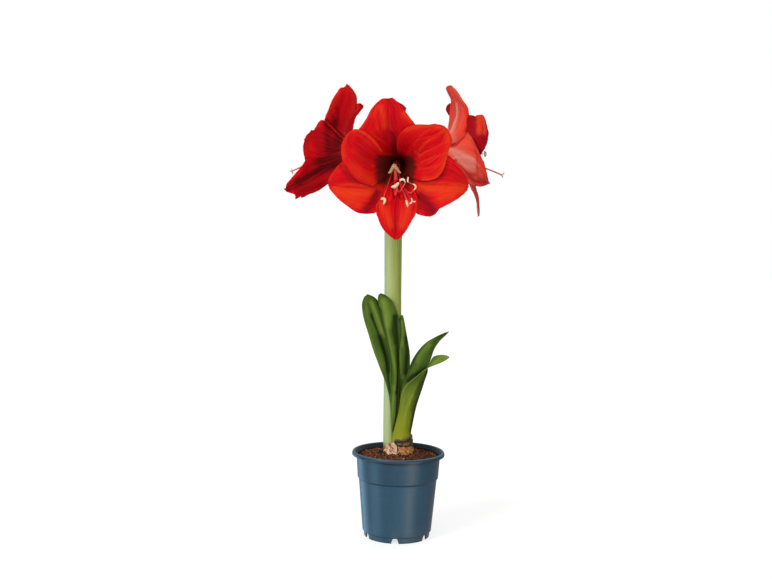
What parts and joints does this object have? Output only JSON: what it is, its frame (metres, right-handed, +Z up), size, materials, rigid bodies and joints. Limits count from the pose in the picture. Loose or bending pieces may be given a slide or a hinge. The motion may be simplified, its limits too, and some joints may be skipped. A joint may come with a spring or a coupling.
{
  "type": "potted plant",
  "caption": "Red amaryllis in bloom: a bulb with strap leaves and a tall scape carrying three open flowers, growing in a blue-grey plastic nursery pot.",
  "frame": {"origin": "centre of the overall footprint (bounding box in X and Y), on the plane the pot stands on", "axes": "+Z up along the scape; -Y is the side the front flower faces; the pot's axis is at X = 11.2 mm, Y = 7.6 mm"},
  "size_m": [0.2985, 0.2657, 0.596],
  "materials": {
    "pot": "satin",
    "soil": "matte",
    "bulb": "satin",
    "tunic": "matte",
    "scape": "satin",
    "leaf": "satin",
    "petal": "satin",
    "stalk": "satin",
    "stamen": "satin",
    "pistil": "satin",
    "spathe": "matte"
  },
  "bodies": {
    "root": {"pot": "pot", "soil": "soil", "bulb": "bulb", "neck_tunic": "tunic", "scape": "scape", "leaf_1": "leaf", "leaf_2": "leaf", "leaf_3": "leaf", "leaf_4": "leaf", "leaf_5": "leaf", "front_tepal_top": "petal", "front_tepal_upper_left": "petal", "front_tepal_upper_right": "petal", "front_tepal_lower_left": "petal", "front_tepal_lower_right": "petal", "front_tepal_bottom": "petal", "front_pedicel_ovary": "stalk", "front_stamens": "stamen", "front_pistil": "pistil", "left_tepal_top": "petal", "left_tepal_near_upper": "petal", "left_tepal_near_lower": "petal", "left_tepal_bottom": "petal", "left_tepal_far_lower": "petal", "left_tepal_far_upper": "petal", "left_pedicel_ovary": "stalk", "left_stamens": "stamen", "left_pistil": "pistil", "right_tepal_top": "petal", "right_tepal_near_upper": "petal", "right_tepal_near_lower": "petal", "right_tepal_bottom": "petal", "right_tepal_far_lower": "petal", "right_tepal_far_upper": "petal", "right_pedicel_ovary": "stalk", "right_stamens": "stamen", "right_pistil": "pistil", "spathe_bract_1": "spathe", "spathe_bract_2": "spathe"}
  },
  "joints": []
}
